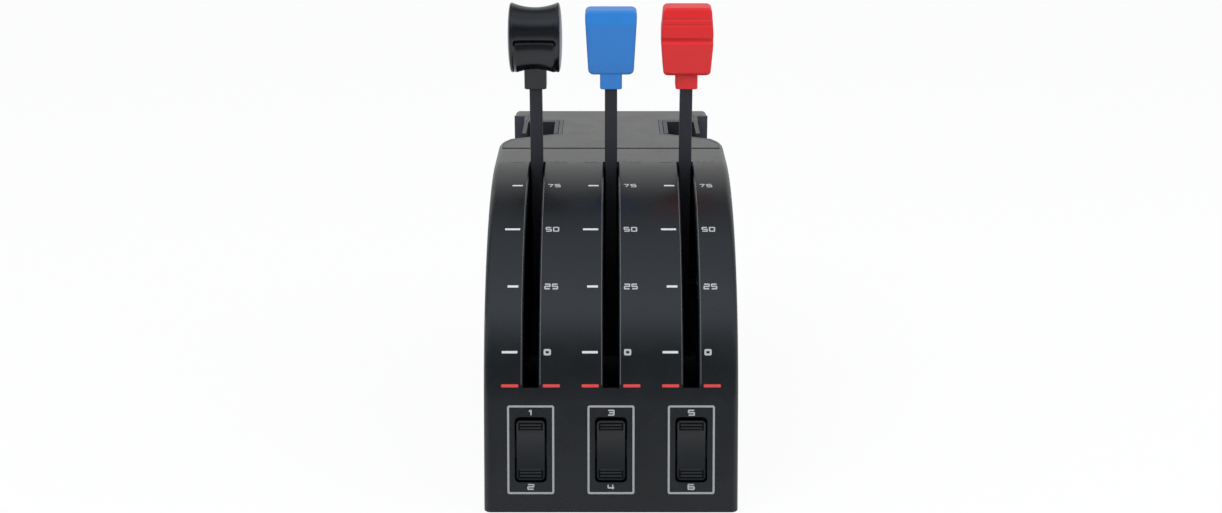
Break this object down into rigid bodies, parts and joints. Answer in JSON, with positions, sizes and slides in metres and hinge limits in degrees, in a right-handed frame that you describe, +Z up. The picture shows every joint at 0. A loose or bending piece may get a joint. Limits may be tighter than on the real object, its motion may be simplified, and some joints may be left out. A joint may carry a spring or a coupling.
{
  "type": "throttle quadrant",
  "caption": "Desk throttle quadrant: curved black housing, upright levers with shaped knobs in scaled slots, rocker switches below, and pockets for a clamp at the rear corners.",
  "frame": {"origin": "on the desk, under the middle of the housing", "axes": "+Z up, +Y away from the user, +X to the user's right; levers stand at full forward power, the rest pose"},
  "size_m": [0.108, 0.2142, 0.2023],
  "materials": {
    "base_plastic": "matt black",
    "black_painted_steel": "satin black",
    "body_plastic": "satin black with a fine texture",
    "bright_steel": "ground",
    "circuit_board": "solder mask",
    "component_black": "moulded",
    "connector_white": "moulded",
    "frame_plastic": "moulded nylon",
    "gear_nylon": "natural nylon",
    "knob_black": "gloss black",
    "knob_blue": "satin blue",
    "knob_red": "satin red",
    "pot_case": "moulded case",
    "rocker_plastic": "satin black",
    "rubber": "matt",
    "socket_plastic": "matt black",
    "tray_plastic": "satin blue-grey black",
    "zinc_steel": "zinc plated"
  },
  "bodies": {
    "housing": {"axle_clips": "bright_steel", "axle_spacers": "frame_plastic", "back_panel": "body_plastic", "base_plate": "base_plastic", "board_connectors": "connector_white", "board_screws": "zinc_steel", "cable_inlet_bush": "rubber", "chassis": "frame_plastic", "chassis_screws": "zinc_steel", "clamp_socket_left": "socket_plastic", "clamp_socket_right": "socket_plastic", "controller_chip": "component_black", "cover_screws": "zinc_steel", "cradle_screws": "zinc_steel", "friction_washers": "gear_nylon", "front_cover": "body_plastic", "main_board": "circuit_board", "pivot_axle": "bright_steel", "pocket_tray_left": "tray_plastic", "pocket_tray_right": "tray_plastic", "pot_left": "pot_case", "pot_mid": "pot_case", "pot_nuts": "zinc_steel", "pot_right": "pot_case", "push_switches": "component_black", "rear_cover": "body_plastic", "reverse_switches": "component_black", "rocker_cradle": "frame_plastic", "rocker_pins": "bright_steel", "rubber_feet": "rubber", "switch_board": "circuit_board", "top_screws": "zinc_steel"},
    "lever_left": {"lever_arm_left": "black_painted_steel", "lever_hub_left": "frame_plastic", "lever_pins_left": "bright_steel", "knob_left": "knob_black"},
    "pot_drive_left": {"pinion_left": "gear_nylon", "pot_shaft_left": "bright_steel"},
    "rocker_left": {"rocker_left": "rocker_plastic"},
    "lever_mid": {"lever_arm_mid": "black_painted_steel", "lever_hub_mid": "frame_plastic", "lever_pins_mid": "bright_steel", "knob_mid": "knob_blue"},
    "pot_drive_mid": {"pinion_mid": "gear_nylon", "pot_shaft_mid": "bright_steel"},
    "rocker_mid": {"rocker_mid": "rocker_plastic"},
    "lever_right": {"lever_arm_right": "black_painted_steel", "lever_hub_right": "frame_plastic", "lever_pins_right": "bright_steel", "knob_right": "knob_red"},
    "pot_drive_right": {"pinion_right": "gear_nylon", "pot_shaft_right": "bright_steel"},
    "rocker_right": {"rocker_right": "rocker_plastic"}
  },
  "joints": [
    {"name": "lever_swing_left", "type": "hinge", "parent": "housing", "child": "lever_left", "pos_m": [-0.034, 0.004, 0.024], "axis": [1, 0, 0], "range_deg": [0, 67.5]},
    {"name": "lever_swing_mid", "type": "hinge", "parent": "housing", "child": "lever_mid", "pos_m": [0, 0.004, 0.024], "axis": [1, 0, 0], "range_deg": [0, 67.5]},
    {"name": "lever_swing_right", "type": "hinge", "parent": "housing", "child": "lever_right", "pos_m": [0.034, 0.004, 0.024], "axis": [1, 0, 0], "range_deg": [0, 67.5]},
    {"name": "pot_turn_left", "type": "hinge", "parent": "housing", "child": "pot_drive_left", "pos_m": [-0.034, 0.025, 0.06037], "axis": [1, 0, 0], "range_deg": [-290, 0]},
    {"name": "pot_turn_mid", "type": "hinge", "parent": "housing", "child": "pot_drive_mid", "pos_m": [0, 0.025, 0.06037], "axis": [1, 0, 0], "range_deg": [-290, 0]},
    {"name": "pot_turn_right", "type": "hinge", "parent": "housing", "child": "pot_drive_right", "pos_m": [0.034, 0.025, 0.06037], "axis": [1, 0, 0], "range_deg": [-290, 0]},
    {"name": "rocker_tilt_left", "type": "hinge", "parent": "housing", "child": "rocker_left", "pos_m": [-0.034, -0.09656, 0.02706], "axis": [1, 0, 0], "range_deg": [-6, 6], "stiffness_Nm_per_rad": 0.1},
    {"name": "rocker_tilt_mid", "type": "hinge", "parent": "housing", "child": "rocker_mid", "pos_m": [0, -0.09656, 0.02706], "axis": [1, 0, 0], "range_deg": [-6, 6], "stiffness_Nm_per_rad": 0.1},
    {"name": "rocker_tilt_right", "type": "hinge", "parent": "housing", "child": "rocker_right", "pos_m": [0.034, -0.09656, 0.02706], "axis": [1, 0, 0], "range_deg": [-6, 6], "stiffness_Nm_per_rad": 0.1}
  ],
  "couplings": [
    {"joint": "pot_turn_left", "follows": "lever_swing_left", "ratio": -4.25},
    {"joint": "pot_turn_mid", "follows": "lever_swing_mid", "ratio": -4.25},
    {"joint": "pot_turn_right", "follows": "lever_swing_right", "ratio": -4.25}
  ]
}
